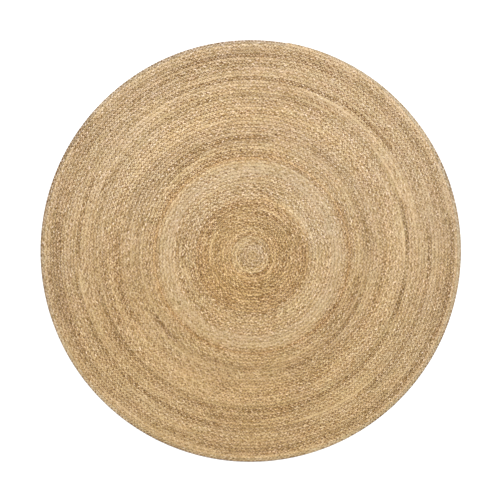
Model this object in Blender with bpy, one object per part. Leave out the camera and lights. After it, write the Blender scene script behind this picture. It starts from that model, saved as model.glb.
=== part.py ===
"""A round rug made of one flat braid of jute, coiled in a spiral and sewn edge to edge.

The rug is one solid. Its upper side is the coil: each turn of the braid is a low rib, and the seam
between two turns is a groove. The coil starts in the middle, opens counterclockwise seen from above,
and ends at the rim in a tail that narrows. The underside is flat.

A place on the coil is named by its turn, which counts along the braid from its start: turn 2.5 has
gone round the middle two and a half times.
"""

import math

import bmesh
import bpy

# The rug, in metres. It stands on the floor with the middle of its underside at the origin.
DIAMETER = 2.0
TURNS = 64

# The outline is a slightly drawn circle.
DRAWN_BY = 0.0016  # of the radius
DRAWN_TOWARDS = math.radians(75)

# The braid.
BRAID_WIDTH = DIAMETER / 2 / (TURNS + 0.5)
BRAID_THICKNESS = 0.009
SEAM_DEPTH = 0.003  # the seam between two turns lies this far below their crests
RIM_HEIGHT = 0.0045  # where the last turn is widest
RIM_UNDERCUT = 0.002  # its underside is this much narrower

# The tail, which is the braid's outer end.
TAIL_ANGLE = math.radians(80)
TAIL_TURNS = 0.12  # the length over which it narrows
TAIL_TIP_WIDTH = 0.0035
TAIL_TIP_THICKNESS = 0.0065

# The turns of the inner half lie off the rug's middle, and those at the rim are centred on it.
COIL_OFFSET_X = 0.004
COIL_OFFSET_Y = -0.022
OFFSET_ENDS_FROM = 0.40  # of the rug's radius
OFFSET_ENDS_AT = 0.75

# The facets of each turn: few in the middle and more towards the rim, so that all are equally round.
FACETS_OF_FIRST_TURN = 8

JUTE_COLOR = (0.57, 0.40, 0.235, 1.0)
JUTE_ROUGHNESS = 0.9


def eased(share):
    """0 up to a share of 0, 1 from a share of 1, and a smooth rise between them."""
    share = min(max(share, 0.0), 1.0)
    return share * share * (3 - 2 * share)


def angle_at(turn):
    return TAIL_ANGLE + 2 * math.pi * (turn - TURNS)


def outline_radius(angle):
    return DIAMETER / 2 * (1 + DRAWN_BY * math.cos(2 * (angle - DRAWN_TOWARDS)))


def tail_share(turn):
    """1 along the whole braid, falling to 0 at the tip of the tail."""
    return eased((TURNS - turn) / TAIL_TURNS)


def width_at(turn):
    return TAIL_TIP_WIDTH + (BRAID_WIDTH - TAIL_TIP_WIDTH) * tail_share(turn)


def thickness_at(turn):
    return TAIL_TIP_THICKNESS + (BRAID_THICKNESS - TAIL_TIP_THICKNESS) * tail_share(turn)


def spread_at(turn):
    """How much the turns are spread at this angle, so that the rim is round although a spiral is not."""
    last = TURNS - 1 + turn % 1
    rim = BRAID_WIDTH * (last + tail_share(last))
    return outline_radius(angle_at(turn)) / rim


def coil_point(turn, radius, height):
    """The point at this turn's angle and this radius of the even spiral."""
    radius *= spread_at(turn)
    share = 2 * radius / DIAMETER
    offset = 1 - eased((share - OFFSET_ENDS_FROM) / (OFFSET_ENDS_AT - OFFSET_ENDS_FROM))
    x = COIL_OFFSET_X * offset + radius * math.cos(angle_at(turn))
    y = COIL_OFFSET_Y * offset + radius * math.sin(angle_at(turn))
    return (x, y, height)


def crest_point(turn):
    """On the braid's middle line, where it is thickest."""
    return coil_point(turn, BRAID_WIDTH * turn + width_at(turn) / 2, thickness_at(turn))


def edge_radius(turn):
    """The outer edge of the braid one turn earlier, which is this turn's inner edge."""
    return BRAID_WIDTH * (turn - 1) + width_at(turn - 1)


def seam_point(turn):
    """In the seam on the braid's inner side. Past the last turn this is the rim."""
    seam_height = BRAID_THICKNESS - SEAM_DEPTH
    lowered = eased((turn - TURNS) / TAIL_TURNS)
    return coil_point(turn, edge_radius(turn), seam_height + (RIM_HEIGHT - seam_height) * lowered)


def sole_point(turn):
    """On the outline of the underside, below the rim."""
    return coil_point(turn, edge_radius(turn) - RIM_UNDERCUT, 0)


def facets_of(turn):
    return round(FACETS_OF_FIRST_TURN * math.sqrt(turn + 1))


def add_line(mesh, point_at, first_turn, end_turn):
    """Adds the points of a line along the coil as one row a turn. A row starts where the last one ended."""
    rows = []
    start = mesh.verts.new(point_at(first_turn))
    for turn in range(first_turn, end_turn):
        facets = facets_of(turn)
        row = [start]
        for step in range(1, facets + 1):
            row.append(mesh.verts.new(point_at(turn + step / facets)))
        rows.append(row)
        start = row[-1]
    return rows


def fill_between(mesh, inner, outer):
    """Fills the strip between two rows that run side by side through the same whole turn."""
    i = 0
    j = 0
    while i + 1 < len(inner) or j + 1 < len(outer):
        if (i + 1) / (len(inner) - 1) <= (j + 1) / (len(outer) - 1):
            mesh.faces.new((inner[i], outer[j], inner[i + 1]))
            i += 1
        else:
            mesh.faces.new((inner[i], outer[j], outer[j + 1]))
            j += 1


def build_coil(mesh):
    seams = add_line(mesh, seam_point, 0, TURNS + 1)
    crests = add_line(mesh, crest_point, 0, TURNS)
    soles = add_line(mesh, sole_point, TURNS, TURNS + 1)

    # Each turn's rib: up from its inner seam to the crest, and down to the seam or rim outside it.
    for turn in range(TURNS):
        fill_between(mesh, seams[turn], crests[turn])
        fill_between(mesh, crests[turn], seams[turn + 1])

    # The side below the rim, and the flat underside.
    fill_between(mesh, seams[TURNS], soles[0])
    mesh.faces.new(reversed(soles[0]))

    # The small space that the first turn goes round, and the cut end of the tail.
    mesh.faces.new(seams[0] + [crests[0][0]])
    tail_side = [seams[TURNS][0], crests[-1][-1], seams[TURNS][-1]]
    mesh.faces.new(tail_side + [soles[0][-1], soles[0][0]])

    bmesh.ops.triangulate(mesh, faces=mesh.faces[:])


def jute_material():
    material = bpy.data.materials.new("jute")
    material.use_nodes = True
    shader = material.node_tree.nodes["Principled BSDF"]
    shader.inputs["Base Color"].default_value = JUTE_COLOR
    shader.inputs["Roughness"].default_value = JUTE_ROUGHNESS
    shader.inputs["Metallic"].default_value = 0.0
    return material


def build_rug():
    mesh = bmesh.new()
    build_coil(mesh)
    data = bpy.data.meshes.new("coiled_braid")
    mesh.to_mesh(data)
    mesh.free()
    data.materials.append(jute_material())
    data.shade_smooth()
    data.set_sharp_from_angle(angle=math.radians(30))
    rug = bpy.data.objects.new("coiled_braid", data)
    bpy.context.collection.objects.link(rug)


for old in list(bpy.data.objects):
    bpy.data.objects.remove(old, do_unlink=True)
build_rug()
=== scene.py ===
"""The looks of a round rug: one flat braid of jute, coiled in a spiral and sewn edge to edge."""

import math

import bpy
import numpy as np
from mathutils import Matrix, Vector


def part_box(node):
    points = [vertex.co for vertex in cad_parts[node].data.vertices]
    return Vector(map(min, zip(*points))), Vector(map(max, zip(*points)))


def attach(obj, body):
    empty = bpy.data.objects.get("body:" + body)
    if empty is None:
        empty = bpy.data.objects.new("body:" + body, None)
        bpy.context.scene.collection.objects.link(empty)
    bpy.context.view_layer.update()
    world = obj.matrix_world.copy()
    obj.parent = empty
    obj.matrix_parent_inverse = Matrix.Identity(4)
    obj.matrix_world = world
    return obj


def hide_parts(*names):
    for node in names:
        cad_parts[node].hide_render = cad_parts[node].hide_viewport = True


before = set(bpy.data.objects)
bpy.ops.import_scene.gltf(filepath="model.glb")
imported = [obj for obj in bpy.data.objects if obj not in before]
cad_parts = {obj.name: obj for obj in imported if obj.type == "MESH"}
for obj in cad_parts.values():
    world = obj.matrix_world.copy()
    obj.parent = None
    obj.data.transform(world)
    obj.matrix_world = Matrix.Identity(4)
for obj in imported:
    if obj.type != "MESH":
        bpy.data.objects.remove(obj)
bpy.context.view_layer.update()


# ---- The coil ----------------------------------------------------------------------------------
# The braid starts in the middle of the rug and is laid round and round, counterclockwise from above,
# each turn sewn to the one before. It ends at the rim in a tail that narrows to nothing. A place along
# it is known by its turn, from 0 in the middle to 64 at the end of the tail.

rug_low, rug_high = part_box("coiled_braid")
RUG_RADIUS = (rug_high.x - rug_low.x + rug_high.y - rug_low.y) / 4
BRAID_THICKNESS = rug_high.z - rug_low.z
TURNS = 64
BRAID_WIDTH = RUG_RADIUS / (TURNS + 0.5)  # the last turn's edge winds from 64 to 65 widths out

DRAWN_BY = 0.0016  # the outline is a slightly drawn circle
DRAWN_TOWARDS = math.radians(75)
TAIL_ANGLE = math.radians(80)
TAIL_TURNS = 0.12
TAIL_TIP_WIDTH = 0.0035
TAIL_TIP_THICKNESS = 0.0065
MIDDLE_X = 0.004  # the inner turns lie off the rug's middle
MIDDLE_Y = -0.022
MIDDLE_DRIFTS_FROM = 0.40  # and come back to it between these shares of its radius
MIDDLE_DRIFTS_TO = 0.75


def eased(share):
    """The share, kept between 0 and 1, with a smooth start and end."""
    share = np.clip(share, 0.0, 1.0)
    return share * share * (3 - 2 * share)


def angle_at(turn):
    """The direction from the coil's middle at this turn, in radians from the rug's right."""
    return TAIL_ANGLE + 2 * math.pi * (turn - TURNS)


def turn_after(length):
    """The turn that the braid has reached after this length, when it lies flat and tight."""
    return -0.5 + np.sqrt(0.25 + length / (math.pi * BRAID_WIDTH))


def length_up_to(turn):
    """The length of braid in the coil up to this turn."""
    return math.pi * BRAID_WIDTH * (turn * turn + turn)


def tail_share(turn):
    """How much of its full width and thickness the braid has: 1, and down to 0 along the tail."""
    return eased((TURNS - turn) / TAIL_TURNS)


def coil_place(turn, radius):
    """Where a point at this turn's angle and this radius of an even spiral lies in the real coil."""
    angle = angle_at(turn)
    last_turn = TURNS - 1 + turn % 1
    outline = RUG_RADIUS * (1 + DRAWN_BY * np.cos(2 * (angle - DRAWN_TOWARDS)))
    radius = radius * outline / (BRAID_WIDTH * (last_turn + tail_share(last_turn)))
    drift = (radius / RUG_RADIUS - MIDDLE_DRIFTS_FROM) / (MIDDLE_DRIFTS_TO - MIDDLE_DRIFTS_FROM)
    offset = 1 - eased(drift)
    x = MIDDLE_X * offset + radius * np.cos(angle)
    y = MIDDLE_Y * offset + radius * np.sin(angle)
    return x, y


# ---- The plaiting --------------------------------------------------------------------------------
# Three strands are plaited flat. On each side of the braid one after the other comes to the top as a
# lobe, half a lobe later on the right side than on the left. Some of it is plaited tighter.

LOBE = 0.0152
STRANDS = 3
ROWS_PER_LOBE = 4  # of the mesh
HALF_LOBE = ROWS_PER_LOBE // 2
ROW = LOBE / ROWS_PER_LOBE
LOBES = int(length_up_to(TURNS) / LOBE)
ROWS = LOBES * ROWS_PER_LOBE

# How much longer or shorter the lobes are, as shares of a lobe, over every so many lobes.
LOOSENESS = ((0.15, 20),)
LOBE_LENGTHS_DIFFER = 0.14
LOBE_LENGTHS_DIFFER_MOST = 0.4
ROWS_SHIFT = 0.0006

plaiting_luck = np.random.default_rng(16)


def drifting(luck, every):
    """Soft random rises and falls between -1 and 1 along the braid, with a knot every so many lobes."""
    knots = luck.uniform(-1, 1, int(LOBES / every) + 2)
    return np.interp(np.arange(LOBES) / every, np.arange(len(knots)), knots)


def strand_in_lobe(side):
    """Which of the three strands each lobe shows on the braid's left (0) or right side (1)."""
    return (2 * np.arange(LOBES) + 1 - side) % STRANDS


def strands_drifting(luck, every):
    """How the three strands differ from one another along the braid, between -1 and 1."""
    strands = np.array([drifting(luck, every) for _ in range(STRANDS)])
    return strands - strands.mean(0)


def varying(luck, changes, drift=drifting):
    """Slow and quick changes along the braid added up: how large each is, over how many lobes."""
    return sum(amount * drift(luck, every) for amount, every in changes)


def row_lengths():
    """How far along the braid each row lies."""
    looseness = varying(plaiting_luck, LOOSENESS)
    lobes_differ = plaiting_luck.normal(0, LOBE_LENGTHS_DIFFER, LOBES)
    looseness += lobes_differ.clip(-LOBE_LENGTHS_DIFFER_MOST, LOBE_LENGTHS_DIFFER_MOST)
    steps = np.repeat(1 + looseness, ROWS_PER_LOBE)
    steps *= length_up_to(TURNS) / steps.sum()
    lengths = np.concatenate(((0.0,), np.cumsum(steps)))
    return lengths + plaiting_luck.uniform(-ROWS_SHIFT, ROWS_SHIFT, ROWS + 1)


row_length = row_lengths()


# ---- The jute ----------------------------------------------------------------------------------
# The strands are undyed jute. The lengths that the braid was made from differ a little in tone, so
# the coil shows paler and browner rings, and each strand has streaks of its own.

# Red, green and blue, and how coarse: how much its fibres stand out, and how dark the shade painted in
# its creases is.
TONES = {
    "heart": (0.580, 0.432, 0.260, 1.0),
    "straw": (0.585, 0.442, 0.262, 0.78),
    "bleached": (0.660, 0.497, 0.292, 1.0),
    "pale": (0.652, 0.480, 0.270, 1.0),
    "wheat": (0.625, 0.460, 0.253, 1.0),
    "natural": (0.600, 0.442, 0.247, 0.98),
    "tan": (0.583, 0.425, 0.232, 1.0),
    "honey": (0.627, 0.437, 0.219, 1.0),
    "golden": (0.615, 0.430, 0.210, 1.15),
    "ashy": (0.520, 0.402, 0.250, 1.0),
    "brown": (0.535, 0.387, 0.206, 1.0),
}

# From the middle to the rim: from each of these turns on the jute has this tone.
TONE_RUNS = (
    (0, "brown"), (1, "heart"), (3, "wheat"), (5.45, "golden"), (6, "honey"), (8, "golden"),
    (17, "wheat"), (18, "bleached"), (24, "straw"), (28, "tan"), (29, "honey"), (30, "wheat"),
    (33, "natural"), (34, "brown"), (35, "tan"), (36, "natural"), (39, "tan"), (40, "wheat"),
    (42, "pale"), (46, "natural"), (47, "brown"), (48, "tan"), (49, "natural"), (52, "tan"),
    (55, "natural"), (57, "tan"), (59, "brown"), (61, "tan"), (62, "natural"), (63, "ashy"),
)
TONES_BLEND = 0.15  # how much of its tone a length shares with those before and after it

# Lengths that stand out in some of the turns: where they start and end in degrees, and how much
# darker they are. Those below zero are paler.
UNEVEN_LENGTHS = {
    63: ((30, 75, -0.10), (140, 170, 0.14), (200, 230, -0.12), (285, 300, -0.12), (345, 375, -0.12)),
    62: ((15, 50, -0.10), (140, 150, 0.22), (195, 220, 0.10)),
    61: (
        (60, 75, -0.09), (140, 150, 0.17), (185, 200, 0.09), (225, 260, -0.14), (270, 305, 0.08),
        (305, 335, 0.16), (335, 370, 0.26),
    ),
    60: ((160, 200, 0.08), (255, 285, 0.12), (320, 335, 0.09), (340, 360, 0.12)),
    59: ((80, 115, 0.18), (170, 220, 0.13), (315, 335, -0.14), (335, 365, -0.07)),
    58: ((65, 80, 0.16), (140, 150, 0.16), (170, 205, 0.16)),
    57: ((10, 30, 0.09), (90, 130, 0.13), (210, 220, -0.14), (220, 250, -0.07)),
    56: ((80, 100, 0.15), (280, 300, 0.09)),
    55: ((90, 135, 0.08), (310, 345, 0.08)),
    54: ((250, 290, 0.10), (310, 370, 0.16)),
    53: ((190, 260, 0.13), (285, 310, -0.13)),
    52: ((35, 60, 0.26), (80, 120, 0.16), (155, 180, 0.15), (185, 200, -0.18), (275, 290, 0.09)),
    51: (
        (0, 25, -0.07), (60, 80, 0.28), (110, 135, -0.11), (190, 210, -0.10), (255, 275, 0.18),
        (300, 315, -0.09),
    ),
    50: ((10, 70, -0.11), (120, 130, -0.13), (150, 185, -0.10), (255, 285, 0.17), (330, 355, 0.11)),
    49: ((130, 160, -0.12), (205, 255, 0.11), (280, 290, 0.17)),
    48: ((20, 40, -0.20), (120, 150, -0.08), (210, 220, 0.18), (250, 330, 0.18), (350, 370, -0.08)),
    47: ((0, 20, 0.18), (60, 70, -0.16), (195, 230, 0.16), (335, 350, 0.24)),
    46: ((20, 45, 0.09), (60, 80, 0.11), (115, 130, 0.10), (245, 275, -0.09), (355, 375, -0.11)),
    45: ((80, 105, 0.05), (180, 210, 0.12)),
    44: ((60, 90, 0.12), (180, 210, 0.13), (295, 320, -0.09)),
    43: ((15, 45, 0.10), (265, 305, 0.11)),
    42: ((90, 110, 0.09), (215, 255, -0.10), (280, 300, 0.13)),
    41: ((35, 70, -0.11), (180, 210, 0.08), (210, 245, -0.09), (275, 310, 0.10)),
    40: ((100, 130, -0.04), (170, 210, 0.14), (235, 255, -0.08), (285, 330, 0.08), (330, 360, 0.12)),
    38: ((0, 30, -0.09),),
    37: ((135, 160, 0.11),),
    36: ((35, 60, 0.10), (165, 190, -0.09), (210, 250, -0.14), (285, 300, 0.18)),
    35: ((80, 140, 0.10), (310, 340, 0.18), (360, 380, 0.13)),
    34: ((30, 80, -0.10), (125, 160, -0.11), (215, 230, 0.20), (335, 360, -0.09)),
    33: ((20, 90, -0.09), (120, 140, 0.13), (240, 280, 0.11), (330, 350, 0.13)),
    32: ((115, 150, -0.10), (310, 350, 0.14)),
    31: ((80, 120, 0.16), (300, 325, 0.11)),
    30: ((0, 35, 0.14), (70, 180, 0.11)),
    29: ((230, 250, 0.08), (305, 335, 0.14), (335, 380, 0.08)),
    28: ((80, 150, -0.11), (285, 320, -0.09)),
    27: ((50, 95, -0.09), (265, 320, -0.08)),
    23: ((185, 225, -0.09), (270, 320, 0.10)),
    22: ((75, 135, -0.09), (160, 280, 0.08)),
    21: ((200, 245, 0.11),),
    20: ((150, 185, 0.14),),
    18: ((15, 60, -0.09), (190, 305, 0.11)),
    17: ((25, 60, -0.14), (220, 300, 0.10)),
    16: ((20, 100, -0.08), (120, 150, 0.11), (190, 210, 0.11), (300, 335, 0.12)),
    15: ((130, 170, -0.11), (310, 375, 0.10)),
    14: ((140, 160, 0.12),),
    13: ((50, 80, -0.14), (250, 280, -0.12)),
    12: ((50, 80, 0.12), (145, 195, -0.08), (260, 290, 0.12)),
    10: ((230, 260, 0.12), (355, 420, 0.08)),
    9: ((335, 375, 0.12),),
    8: ((160, 195, -0.07),),
    6: ((85, 150, 0.11), (310, 340, -0.11)),
    5: ((250, 350, 0.12),),
    4: ((110, 270, -0.12), (355, 415, 0.18)),
}
SOFT_ENDS = 6  # degrees

# Places where the jute is warmer: to the right of the rug's middle, beyond it, how far the warmth
# reaches, in metres, and how much warmer. Those below zero are greyer.
WARM_PLACES = (
    (-0.60, -0.25, 0.30, 1.0),
    (-0.10, -0.50, 0.35, 0.7),
    (0.10, -0.75, 0.20, 0.6),
    (-0.25, 0.50, 0.25, 0.8),
    (0.10, 0.65, 0.20, 0.8),
    (-0.12, -0.17, 0.12, 1.0),
    (0.45, -0.30, 0.30, 0.4),
    (-0.90, -0.15, 0.15, -0.7),
    (0.95, 0.25, 0.22, -0.8),
    (0.85, -0.50, 0.20, -0.8),
    (-0.60, 0.42, 0.15, -0.6),
    (0.30, 0.12, 0.12, -0.5),
)
WARMTH_FADES = 0.7
WARMER = np.array((0.021, -0.003, -0.068))
GREENER = np.array((-0.012, 0.0, -0.01))
GREYER = np.array((0.0, 0.0, 0.03))
BROWNING = np.array((0.82, 1.0, 1.60))  # darker jute is browner too: it loses blue before red

# How coarse the jute is by turn. The outer turns are worked more evenly.
COARSE_AT_TURN = (0, 4, 20, 42, 52, 61, TURNS)
COARSE = (0.86, 1.00, 1.06, 0.99, 0.90, 0.94, 0.76)
# Darker jute's deeper shadows are painted: more shade is painted in its creases.
DARKER_IS_COARSER = 2.3  # and has deeper shadows between its fibres
LEAST_COARSE = 0.6
MOST_COARSE = 1.6

# How the jute changes along the braid: how much, over how many lobes.
SMOOTHER_CHANGES = ((0.0825, 25), (0.1155, 8))
STRAND_CHANGES = ((0.23, 40), (0.20, 7))  # one of the three strands is often darker or paler
GREENER_CHANGES = ((1.0, 300),)
GREYER_CHANGES = ((1.0, 400), (0.3, 50))
ROUGHER_CHANGES = ((0.08, 30),)

# How single lobes differ: most are about as light as their strand, and a few are much darker.
PALE_LOBE = 0.03
DARKEST_LOBE = 0.34
FEW_ARE_DARK = 3  # as a power: the higher, the fewer
LOBE_TONES_DIFFER = 0.05
PALER_LOBES_HELD = 0.7  # lobes paler than their tone stand out less than darker ones do

# In the lengths that stand out some lobes do so more than others.
DARK_LENGTHS_PATCHY = 0.3
PATCHY_LEAST = 0.4
PATCHY_MOST = 1.6

jute_luck = np.random.default_rng(64)


def length_tones(turn):
    """The colour of the jute at each lobe of the braid, and how coarse it is."""
    starts = [start for start, _ in TONE_RUNS]
    tones = np.array([TONES[name] for _, name in TONE_RUNS])
    ends = np.array(starts[1:] + [TURNS + 1])
    middles = (np.array(starts) + ends) / 2
    own = tones[np.searchsorted(starts, turn, side="right") - 1]
    shared = np.stack([np.interp(turn, middles, column) for column in tones.T], 1)
    tones = (1 - TONES_BLEND) * own + TONES_BLEND * shared
    return tones[:, :3], tones[:, 3] * np.interp(turn, COARSE_AT_TURN, COARSE)


def length_darkness(turn):
    """How much darker than its neighbours each lobe is, in the lengths that stand out."""
    darkness = np.zeros(LOBES)
    degrees = np.degrees(angle_at(turn)) % 360
    for ring_number, lengths in UNEVEN_LENGTHS.items():
        on_ring = np.abs(turn - ring_number - 0.5) < 0.5
        for start, end, amount in lengths:
            middle = (start + end) / 2
            half = (end - start + SOFT_ENDS) / 2
            away = np.abs((degrees - middle + 180) % 360 - 180)
            darkness += amount * on_ring * (1 - eased((away - half + SOFT_ENDS) / SOFT_ENDS))
    return darkness


def warmth(turn):
    """How much warmer the jute is at each lobe of the braid, from where the lobe lies in the rug."""
    x, y = coil_place(turn, BRAID_WIDTH * (turn + 0.5))
    warm = np.zeros(LOBES)
    for to_right, beyond, reach, amount in WARM_PLACES:
        away = np.hypot(x - to_right, y - beyond) / reach
        warm += amount * np.exp(-WARMTH_FADES * away**2)
    return warm


def strand_tones():
    """The colour of each lobe on the braid's two sides, and how coarse it is."""
    turn = turn_after(row_length[HALF_LOBE::ROWS_PER_LOBE])
    base, coarse = length_tones(turn)
    darkness = length_darkness(turn)
    smoother = varying(jute_luck, SMOOTHER_CHANGES)
    strands = varying(jute_luck, STRAND_CHANGES, strands_drifting)
    hue = 1 + varying(jute_luck, GREENER_CHANGES)[:, None] * GREENER
    hue += varying(jute_luck, GREYER_CHANGES)[:, None] * GREYER
    hue += warmth(turn)[:, None] * WARMER
    coarser = DARKER_IS_COARSER * darkness - smoother + varying(jute_luck, ROUGHER_CHANGES)
    coarse = coarse * np.clip(1 + coarser, LEAST_COARSE, MOST_COARSE)
    sides = []
    for side in range(2):
        own = PALE_LOBE - DARKEST_LOBE * jute_luck.uniform(0, 1, LOBES) ** FEW_ARE_DARK
        own += jute_luck.normal(0, LOBE_TONES_DIFFER, LOBES)
        patchy = DARK_LENGTHS_PATCHY * jute_luck.uniform(PATCHY_LEAST, PATCHY_MOST, LOBES)
        light = (np.choose(strand_in_lobe(side), strands) + own) * coarse - patchy * darkness
        light = np.where(light > 0, PALER_LOBES_HELD * light, light)
        colour = base * np.exp(light[:, None] * BROWNING) * hue
        sides.append(np.concatenate((colour, coarse[:, None]), axis=1))
    return sides


lobe_tones = strand_tones()


# ---- The braid ---------------------------------------------------------------------------------
# Three thick strands plaited flat. On each side of the middle a strand rises over the next one,
# leans forward and wraps round the edge, so the top shows two rows of plump, slanting lobes.

# The strands at each row of a lobe, from the crease in which the lobe starts to the next one.
PLUMP = np.array((0.0, 0.85, 1.0, 0.85))  # how high the strand's back is
HUGGING = np.array((0.0, -0.0011, 0.0, 0.0011))  # the rows beside a crease lie close to it
CROSSING = np.array((-0.17, 0.0, 0.17, 0.0))  # how far a strand reaches over the middle

# Places round the braid, from the inner edge over the top to the outer edge and back underneath. First
# how far across, as shares of half the width, and how many metres forward the strand has run there.
ACROSS = np.array((-1.0, -0.72, -0.36, 0.0, 0.36, 0.72, 1.0, 0.62, -0.62))
LEAN = np.array((9.8, 6.1, 2.8, 0.0, 2.8, 6.1, 9.8, 5.0, 5.0)) / 1000
PLACES = len(ACROSS)
MIDDLE = 3
UNDERSIDE = 7

# Then how high, as shares of the thickness, and how deep in the hollows, from 0 to 1: how much shade is
# painted there.
CREST_HEIGHT = np.array((0.58, 0.94, 1.0, 0.80, 1.0, 0.94, 0.58, 0.0, 0.0))
CREASE_HEIGHT = np.array((0.50, 0.56, 0.60, 0.64, 0.60, 0.56, 0.50, 0.13, 0.13))
CREST_SHADE = np.array((0.92, 0.15, 0.0, 0.35, 0.0, 0.15, 0.92, 0.5, 0.5))
CREASE_SHADE = np.array((1.15, 1.0, 1.0, 0.9, 1.0, 1.0, 1.15, 0.7, 0.7))
# Painted shade on the last turn as it rounds off: more on its outer side, less in its inner seam.
RIM_SHADE = np.array((-0.3, 0.0, 0.0, 0.1, 0.3, 0.35, 0.1, 0.0, 0.0))  # the last turn rounds off

MIDDLE_PLUMP = 0.5
EDGE_BULGE = 0.13  # the lobes of neighbouring turns press into each other
HIGHEST = 1.1  # thicknesses, for a lobe that rises above the rest
LEAN_FULL_FROM = 0.03  # nearer the middle the coil is too tight for the strands to lean as far
LEAST_LEAN = 0.2
SMALLEST_RADIUS = 0.0003
TUCKED_ROWS = 8  # the rows of the braid's start, tucked into the middle of the coil

# No row is sewn on quite evenly, so the seams wander: how far, and with a knot every so many metres.
SEAM_WANDER = 0.0011
SEAM_WANDERS_OVER = 0.045
SEAM_EVEN_TO_TURN = 1.5

# How the lobes differ, and how much the shade painted in the creases between them differs.
LOBE_RISE = 0.06
LOBE_SINKS_MOST = -0.15
LOBE_RISES_MOST = 0.12
CREASE_CHANGES = ((0.5, 40), (0.5, 7))
CREASES_DIFFER = 0.2

row_luck = np.random.default_rng(27)
lobe_rise = row_luck.normal(0, LOBE_RISE, (2, LOBES + 1)).clip(LOBE_SINKS_MOST, LOBE_RISES_MOST)
# How much shade is painted in each crease: it changes from strand to strand and crease to crease, and is
# more in coarser jute.
strand_looseness = varying(row_luck, CREASE_CHANGES, strands_drifting)
crease_shade_amount = 1.0 + np.array([np.choose(strand_in_lobe(side), strand_looseness) for side in range(2)])
crease_shade_amount += row_luck.uniform(-CREASES_DIFFER, CREASES_DIFFER, (2, LOBES))
lobe_coarse = np.array([tones[:, 3] for tones in lobe_tones])
crease_shade_amount *= lobe_coarse

seam_luck = np.random.default_rng(5)
seam_knots = seam_luck.uniform(-1, 1, int(length_up_to(TURNS) / SEAM_WANDERS_OVER) + 2)


def seam_wander(turn):
    """How far off its even spiral the seam runs."""
    knot = length_up_to(np.clip(turn, 0, TURNS)) / SEAM_WANDERS_OVER
    inside = eased(turn / SEAM_EVEN_TO_TURN) * eased(TURNS - 1 - turn)
    return SEAM_WANDER * np.interp(knot, np.arange(len(seam_knots)), seam_knots) * inside


def on_sides(left, right):
    """What each row has on its left and its right, at all the places round the braid."""
    return np.where(ACROSS < 0, left[:, None], right[:, None])


def plumpness(rows):
    """How high the strands' backs are in each row, at all the places round the braid."""
    left_lobe = np.clip(rows // ROWS_PER_LOBE, 0, LOBES)
    right_lobe = np.clip((rows + HALF_LOBE) // ROWS_PER_LOBE, 0, LOBES)
    left = PLUMP[rows % ROWS_PER_LOBE] * (1 + lobe_rise[0, left_lobe])
    right = PLUMP[(rows + HALF_LOBE) % ROWS_PER_LOBE] * (1 + lobe_rise[1, right_lobe])
    plump = on_sides(left, right)
    plump[:, MIDDLE] = MIDDLE_PLUMP
    return plump


def braid_points(rows):
    """The points of the braid in these rows: rows by places round the braid."""
    plump = plumpness(rows)
    hug = on_sides(HUGGING[rows % ROWS_PER_LOBE], HUGGING[(rows + HALF_LOBE) % ROWS_PER_LOBE])
    hug[:, MIDDLE] = 0

    length = row_length[np.clip(rows, 0, ROWS)]
    leaning = np.clip(turn_after(length) * BRAID_WIDTH / LEAN_FULL_FROM, LEAST_LEAN, 1.0)
    leaning *= tail_share(turn_after(length))
    turn = turn_after(np.maximum(length[:, None] + (hug + LEAN) * leaning[:, None], 0))
    turn += np.minimum(rows, 0)[:, None] / TUCKED_ROWS

    across = ACROSS * np.ones_like(turn)
    across *= 1 + EDGE_BULGE * plump * (np.abs(ACROSS) == 1.0)
    across[:, MIDDLE] = CROSSING[rows % ROWS_PER_LOBE]

    width = TAIL_TIP_WIDTH + (BRAID_WIDTH - TAIL_TIP_WIDTH) * tail_share(turn)
    width *= 1 + np.minimum(turn, 0)
    radius = BRAID_WIDTH * np.maximum(turn, 0) + width / 2 * (1 + across)
    outward = (1 + across) / 2
    radius += (1 - outward) * seam_wander(turn) + outward * seam_wander(turn + 1)
    x, y = coil_place(turn, np.maximum(radius, SMALLEST_RADIUS))

    thickness = TAIL_TIP_THICKNESS + (BRAID_THICKNESS - TAIL_TIP_THICKNESS) * tail_share(turn)
    height = thickness * (CREASE_HEIGHT + plump * (CREST_HEIGHT - CREASE_HEIGHT))
    height = np.clip(height, 0.0, HIGHEST * BRAID_THICKNESS)
    return np.stack((x, y, rug_low.z + height), axis=2)


def keep_creases_sharp(mesh, rows):
    """The creases stay sharp: along the middle, and where one strand dives under the next."""
    edges = np.empty(len(mesh.edges) * 2, np.int32)
    mesh.edges.foreach_get("vertices", edges)
    row, place = np.divmod(edges.reshape(-1, 2), PLACES)
    along_middle = (place == MIDDLE).all(1)
    same_row = row[:, 0] == row[:, 1]
    row_in_lobe = rows[row[:, 0]] % ROWS_PER_LOBE
    on_top = place.max(1) < UNDERSIDE
    left_crease = same_row & (row_in_lobe == 0) & (place.max(1) <= MIDDLE)
    right_crease = same_row & (row_in_lobe == HALF_LOBE) & (place.min(1) >= MIDDLE) & on_top
    at_ends = same_row & ((row[:, 0] == 0) | (row[:, 0] == len(rows) - 1))
    sharp = mesh.attributes.new("sharp_edge", "BOOLEAN", "EDGE")
    sharp.data.foreach_set("value", along_middle | left_crease | right_crease | at_ends)


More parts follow.
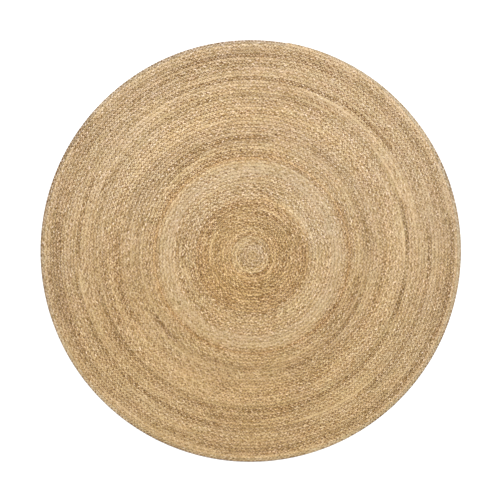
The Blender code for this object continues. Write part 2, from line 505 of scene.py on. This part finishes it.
def note_places(mesh, rows):
    """Where each point lies: across the braid and along it, and how much shade is painted on it for lying
    deep in the hollows.
    """
    left_crease = np.clip((rows + HALF_LOBE) // ROWS_PER_LOBE, 0, LOBES - 1)
    right_crease = np.clip((rows + 2 * HALF_LOBE) // ROWS_PER_LOBE, 0, LOBES - 1)
    depth = on_sides(crease_shade_amount[0, left_crease], crease_shade_amount[1, right_crease])
    coarse = on_sides(lobe_coarse[0, left_crease], lobe_coarse[1, right_crease])
    # The painted shade: deepest in the creases and the seams between turns, least on the lobes' crests.
    in_crease = CREASE_SHADE * depth
    on_crest = CREST_SHADE * coarse
    painted_shade = in_crease + np.clip(plumpness(rows), 0.0, 1.0) * (on_crest - in_crease)
    # On the last turn the rim's painted shade is added.
    at_rim = turn_after(row_length[np.clip(rows, 0, ROWS)]) > TURNS - 1
    place = np.zeros((len(rows), PLACES, 3), np.float32)
    place[:, :, 0] = ACROSS * BRAID_WIDTH / 2
    place[:, :, 1] = (np.arange(len(rows)) * ROW)[:, None]
    place[:, :, 2] = painted_shade + at_rim[:, None] * RIM_SHADE
    on_strand = mesh.attributes.new("on_strand", "FLOAT_VECTOR", "POINT")
    on_strand.data.foreach_set("vector", place.ravel())


def note_tones(mesh, rows):
    """The tone of each face's lobe, and how coarse it is."""
    row, place = np.divmod(np.arange((len(rows) - 1) * PLACES), PLACES)
    row = rows[row]
    left = (place < MIDDLE) | (place >= UNDERSIDE)
    left_lobe = np.clip(row // ROWS_PER_LOBE, 0, LOBES - 1)
    right_lobe = np.clip((row + HALF_LOBE) // ROWS_PER_LOBE, 0, LOBES - 1)
    tone = np.where(left[:, None], lobe_tones[0][left_lobe], lobe_tones[1][right_lobe])
    tone = np.concatenate((tone, tone[:1], tone[-1:]))
    jute_tone = mesh.attributes.new("jute_tone", "FLOAT_COLOR", "FACE")
    jute_tone.data.foreach_set("color", tone.astype(np.float32).ravel())


# Where each place lies on the braid's unrolled skin, and back at the first. The hidden underside
# takes less room. A strip of the skin is a little wider than the skin, and the ends lie in a corner.
SKIN = np.array((-9.8, -5.6, -2.8, 0.0, 2.8, 5.6, 9.8, 12.8, 17.6, 20.6)) / 1000
SKIN_STRIP = 0.0325
SKIN_GAP = 0.0012
ENDS_CORNER = 0.999
ENDS_SIZE = 0.0008


def lay_out_skin(mesh, rows):
    """Gives the mesh a map on which its skin lies in straight strips, one above the other."""
    steps = len(rows) - 1
    strips = max(1, round(math.sqrt(steps * ROW / SKIN_STRIP)))
    steps_a_strip = math.ceil(steps / strips)
    side = max(steps_a_strip * ROW, strips * SKIN_STRIP)
    step, place = np.divmod(np.arange(steps * PLACES), PLACES)
    strip, step_in_strip = np.divmod(step, steps_a_strip)
    along = step_in_strip[:, None] + np.array((0, 0, 1, 1))
    beside = place[:, None] + np.array((0, 1, 1, 0))
    gap = SKIN_GAP * (place >= UNDERSIDE - 1)
    up = strip[:, None] * SKIN_STRIP + SKIN[beside] - SKIN[0] + gap[:, None]
    quads = np.stack((along * ROW / side, up / side), axis=2).reshape(-1, 2)
    ring = np.stack((np.cos(np.arange(PLACES)), np.sin(np.arange(PLACES))), axis=1)
    ends = np.tile(ENDS_CORNER + ENDS_SIZE * ring, (2, 1))
    layer = mesh.uv_layers.new(name="OFBake")
    layer.uv.foreach_set("vector", np.concatenate((quads, ends)).astype(np.float32).ravel())


def braid_mesh(name, first_row, last_row):
    """One length of the braid as a closed mesh, with what its material reads."""
    rows = np.arange(first_row, last_row + 1)
    number = np.arange(len(rows) * PLACES).reshape(-1, PLACES)
    beside = np.roll(number, -1, axis=1)
    quads = np.stack((number[:-1], beside[:-1], beside[1:], number[1:]), axis=2).reshape(-1, 4)
    faces = quads.tolist() + [number[0, ::-1].tolist(), number[-1].tolist()]
    mesh = bpy.data.meshes.new(name)
    mesh.from_pydata(braid_points(rows).reshape(-1, 3), [], faces)
    mesh.shade_smooth()
    keep_creases_sharp(mesh, rows)
    note_places(mesh, rows)
    note_tones(mesh, rows)
    lay_out_skin(mesh, rows)
    return mesh


def add_node(tree, kind, inputs, **settings):
    """A new node. Each of its inputs is a plain value or comes from another node's output."""
    node = tree.nodes.new(kind)
    for setting, value in settings.items():
        setattr(node, setting, value)
    for name, value in inputs.items():
        if isinstance(value, bpy.types.NodeSocket):
            tree.links.new(value, node.inputs[name])
        else:
            node.inputs[name].default_value = value
    return node


def calculate(tree, operation, first, second=0.0):
    """The result of a sum on one value or two, each a number or another node's output."""
    return add_node(tree, "ShaderNodeMath", {0: first, 1: second}, operation=operation).outputs[0]


def share_between(tree, value, none_at, all_at):
    """0 where the value is the first of the two, 1 where it is the second, and smooth between them."""
    inputs = {"Value": value, "From Min": none_at, "From Max": all_at}
    step = add_node(tree, "ShaderNodeMapRange", inputs, interpolation_type="SMOOTHSTEP")
    return step.outputs["Result"]


# The sockets that a Mix node uses for colours go by number, since its other kinds share their names.
MIX_FACTOR = 0
MIX_COLOUR = 6
MIX_TINT = 7
MIX_RESULT = 2


def stain(tree, colour, tint, amount):
    """The colour multiplied by a tint, as far as the amount says."""
    inputs = {MIX_FACTOR: amount, MIX_COLOUR: colour, MIX_TINT: (*tint, 1)}
    mix = add_node(tree, "ShaderNodeMix", inputs, data_type="RGBA", blend_type="MULTIPLY")
    return mix.outputs[MIX_RESULT]


def streaks(tree, sideways, lengthways, size, detail=2.0):
    """Random streaks of this width and length in metres, as a value around a half."""
    width, length = size
    inputs = {
        "X": calculate(tree, "MULTIPLY", sideways, 1 / width),
        "Y": calculate(tree, "MULTIPLY", lengthways, 1 / length),
    }
    place = add_node(tree, "ShaderNodeCombineXYZ", inputs).outputs[0]
    inputs = {"Vector": place, "Scale": 1.0, "Detail": detail, "Roughness": 0.6}
    return add_node(tree, "ShaderNodeTexNoise", inputs, noise_dimensions="2D").outputs[0]


YARN = 0.0034  # the yarns that a strand is twisted from
YARN_TWIST = 0.36  # how far a yarn runs forward on its way across the strand
YARN_WANDER = 0.004  # how far it strays to the side
YARN_WANDERS_OVER = 0.012

# Widths and lengths of the marks in the jute.
FIBRE = (0.0006, 0.010)
CLUMP = (0.0045, 0.007)
SPECK = (0.0025, 0.009)
PATCHES = {"rosy": 0.07, "olive": 0.10, "ashy": 0.16}
PATCH_SHIFT = 70  # patches, so that the three kinds don't fall on the same places

DARK_FIBRE = (0.785, 0.72, 0.50)
PALE_FIBRE = (1.10, 1.14, 1.34)
DARK_CLUMP = (0.49, 0.35, 0.11)
PALE_CLUMP = (1.12, 1.16, 1.38)
# Painted shade in the grooves between the yarns.
YARN_GROOVE_SHADE = (0.72, 0.63, 0.40)
# Painted shade deep in the creases, the seams between turns and underneath.
HOLLOW_SHADE = (0.25, 0.12, 0.0)
BARK_SPECK = (0.33, 0.21, 0.05)
ROSY = (1.015, 0.993, 0.982)
OLIVE = (0.988, 1.004, 0.985)
ASHY = (0.993, 0.999, 1.03)
# Painted light and shade: the tint of the near side and the tint of the far side.
SHADED_NEAR_SIDE = (0.955, 0.945, 0.90)
LIT_FAR_SIDE = (1.01, 1.065, 1.24)
STRAW_SHEEN = (1.0, 0.93, 0.80, 1)


def jute_material():
    """Undyed jute: twisted yarns of fine fibres, with clumps and specks of bark, and painted shade in its
    hollows and between its yarns.
    """
    material = bpy.data.materials.new("jute")
    material.use_nodes = True
    tree = material.node_tree
    shader = tree.nodes["Principled BSDF"]
    shader.inputs["Specular IOR Level"].default_value = 0.35
    shader.inputs["Sheen Weight"].default_value = 0.12
    shader.inputs["Sheen Roughness"].default_value = 0.5
    shader.inputs["Sheen Tint"].default_value = STRAW_SHEEN

    jute_tone = add_node(tree, "ShaderNodeAttribute", {}, attribute_name="jute_tone")
    tone, coarse = jute_tone.outputs["Color"], jute_tone.outputs["Alpha"]
    on_strand = add_node(tree, "ShaderNodeAttribute", {}, attribute_name="on_strand").outputs["Vector"]
    place = add_node(tree, "ShaderNodeSeparateXYZ", {"Vector": on_strand})
    across, along, painted_shade = place.outputs[0], place.outputs[1], place.outputs[2]

    # The yarns run along the strand with a twist, and wander a little.
    twisted = calculate(tree, "ADD", along, calculate(tree, "MULTIPLY", across, YARN_TWIST))
    wander = streaks(tree, along, across, (YARN_WANDERS_OVER, YARN_WANDERS_OVER), detail=1.0)
    wander = calculate(tree, "MULTIPLY", calculate(tree, "SUBTRACT", wander, 0.5), YARN_WANDER)
    twisted = calculate(tree, "ADD", twisted, wander)
    wave = calculate(tree, "SINE", calculate(tree, "MULTIPLY", twisted, math.pi / YARN))
    yarn = calculate(tree, "POWER", calculate(tree, "ABSOLUTE", wave), 0.6)

    # The fibres, the paler and darker clumps of them, and specks of bark, stronger in coarse jute.
    fibre = streaks(tree, twisted, across, FIBRE, detail=3.0)
    clump = streaks(tree, twisted, across, CLUMP)
    clump = calculate(tree, "MULTIPLY", calculate(tree, "SUBTRACT", clump, 0.5), coarse)
    speck = streaks(tree, twisted, across, SPECK)

    # Patches of the rug are a little rosier, more olive or greyer.
    everywhere = add_node(tree, "ShaderNodeTexCoord", {}).outputs["Object"]
    patches = {}
    for name, size in PATCHES.items():
        shift = (size * PATCH_SHIFT, 0, 0)
        shifted = add_node(tree, "ShaderNodeMapping", {"Vector": everywhere, "Location": shift})
        inputs = {"Vector": shifted.outputs[0], "Scale": 1 / size, "Detail": 1.0}
        noise = add_node(tree, "ShaderNodeTexNoise", inputs, noise_dimensions="3D").outputs[0]
        patches[name] = share_between(tree, noise, 0.40, 0.66)

    # Painted light: the far side is painted paler and bluer, lit by the softbox, and the near side darker
    # and yellower, in shade.
    y = add_node(tree, "ShaderNodeSeparateXYZ", {"Vector": everywhere}).outputs[1]
    inputs = {"Value": y, "From Min": -1.0, "From Max": 1.0}
    far = add_node(tree, "ShaderNodeMapRange", inputs).outputs["Result"]
    colour = stain(tree, tone, SHADED_NEAR_SIDE, calculate(tree, "SUBTRACT", 1.0, far))
    colour = stain(tree, colour, LIT_FAR_SIDE, far)

    colour = stain(tree, colour, ROSY, patches["rosy"])
    colour = stain(tree, colour, OLIVE, patches["olive"])
    colour = stain(tree, colour, ASHY, patches["ashy"])
    colour = stain(tree, colour, DARK_FIBRE, share_between(tree, fibre, 0.55, 0.25))
    colour = stain(tree, colour, PALE_FIBRE, share_between(tree, fibre, 0.50, 0.75))
    colour = stain(tree, colour, DARK_CLUMP, share_between(tree, clump, 0.02, -0.22))
    colour = stain(tree, colour, PALE_CLUMP, share_between(tree, clump, 0.0, 0.20))
    # Painted shade in the grooves between the yarns.
    colour = stain(tree, colour, YARN_GROOVE_SHADE, share_between(tree, yarn, 0.55, 0.0))
    # Painted shade deep in the creases, the seams between turns and underneath.
    colour = stain(tree, colour, HOLLOW_SHADE, share_between(tree, painted_shade, 0.25, 1.0))
    speck = calculate(tree, "MULTIPLY", share_between(tree, speck, 0.57, 0.68), coarse)
    colour = stain(tree, colour, BARK_SPECK, speck)
    tree.links.new(colour, shader.inputs["Base Color"])

    inputs = {"Value": fibre, "From Min": 0.3, "From Max": 0.7, "To Min": 0.85, "To Max": 0.6}
    roughness = add_node(tree, "ShaderNodeMapRange", inputs).outputs["Result"]
    tree.links.new(roughness, shader.inputs["Roughness"])

    yarn_height = calculate(tree, "MULTIPLY", yarn, 0.5)
    height = calculate(tree, "ADD", yarn_height, calculate(tree, "MULTIPLY", fibre, 0.35))
    bump = add_node(tree, "ShaderNodeBump", {"Strength": 0.9, "Distance": 0.001, "Height": height})
    tree.links.new(bump.outputs["Normal"], shader.inputs["Normal"])
    return material


jute = jute_material()

# The braid was plaited in 24 lengths, which meet at these turns.
LENGTH_ENDS = (
    0, 6, 11, 15, 18, 21, 24, 27, 30, 33, 35, 37, 39,
    41, 43, 45, 47, 49, 51, 53, 55, 57, 59, 61, TURNS,
)


def row_at(turn):
    """The row in which the first lobe after this turn starts, or the braid's last row."""
    lobe = int(np.searchsorted(row_length[::ROWS_PER_LOBE], length_up_to(turn)))
    return ROWS_PER_LOBE * min(lobe, LOBES)


for number, (start_turn, end_turn) in enumerate(zip(LENGTH_ENDS, LENGTH_ENDS[1:]), start=1):
    first_row = row_at(start_turn) if start_turn > 0 else -TUCKED_ROWS
    last_row = row_at(end_turn)
    name = f"braid_length_{number:02d}"
    piece = bpy.data.objects.new(name, braid_mesh(name, first_row, last_row))
    bpy.context.collection.objects.link(piece)
    piece.data.materials.append(jute)
    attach(piece, "root")
    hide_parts("coiled_braid")


# ---- The floor, the light and the camera ---------------------------------------------------------
# A sheet of white studio paper on the floor, lit by white walls all round and one softbox above and
# a little beyond the rug. The camera hangs straight over it.

FLOOR_HALF = 20
PAPER = (0.92, 0.92, 0.92, 1)
PAPER_CLOUD = (0.97, 0.97, 0.97)


def studio_floor():
    """One large sheet, white and matt, with faint clouds in its white as paper has."""
    mesh = bpy.data.meshes.new("studio_floor")
    near, far = -FLOOR_HALF, FLOOR_HALF
    mesh.from_pydata([(near, near, 0), (far, near, 0), (far, far, 0), (near, far, 0)], [], [(0, 1, 2, 3)])
    floor = bpy.data.objects.new("studio_floor", mesh)
    floor.location.z = rug_low.z
    bpy.context.collection.objects.link(floor)
    material = bpy.data.materials.new("studio_white")
    material.use_nodes = True
    tree = material.node_tree
    shader = tree.nodes["Principled BSDF"]
    everywhere = add_node(tree, "ShaderNodeTexCoord", {}).outputs["Object"]
    cloudy = add_node(tree, "ShaderNodeTexNoise", {"Vector": everywhere, "Scale": 3.0}).outputs[0]
    colour = stain(tree, PAPER, PAPER_CLOUD, share_between(tree, cloudy, 0.4, 0.6))
    tree.links.new(colour, shader.inputs["Base Color"])
    inputs = {"Value": cloudy, "To Min": 0.8, "To Max": 1.0}
    roughness = add_node(tree, "ShaderNodeMapRange", inputs).outputs["Result"]
    tree.links.new(roughness, shader.inputs["Roughness"])
    mesh.materials.append(material)
    return floor


studio_floor()

world = bpy.data.worlds.new("studio")
bpy.context.scene.world = world
world.use_nodes = True
walls = world.node_tree.nodes["Background"]
walls.inputs["Color"].default_value = (1.0, 1.0, 1.0, 1)
walls.inputs["Strength"].default_value = 1.17

SOFTBOX_PLACE = Vector((0.4, 2.2, 4.6))
softbox_data = bpy.data.lights.new("softbox", "AREA")
softbox_data.shape = "SQUARE"
softbox_data.size = 3.0
softbox_data.energy = 190
softbox = bpy.data.objects.new("softbox", softbox_data)
softbox.location = SOFTBOX_PLACE
softbox.rotation_euler = SOFTBOX_PLACE.to_track_quat("Z", "Y").to_euler()
bpy.context.collection.objects.link(softbox)

RUG_FILLS = 0.841  # of the width that the camera sees
CAMERA_X = -0.0035
CAMERA_Y = 0.0043
camera_data = bpy.data.cameras.new("camera")
camera_data.lens = 85
camera_data.clip_end = 100
camera = bpy.data.objects.new("camera", camera_data)
VIEW_WIDTH = 2 * RUG_RADIUS / RUG_FILLS
camera.location = (CAMERA_X, CAMERA_Y, VIEW_WIDTH * camera_data.lens / camera_data.sensor_width)
bpy.context.collection.objects.link(camera)
bpy.context.scene.camera = camera

bpy.context.scene.view_settings.view_transform = "Standard"
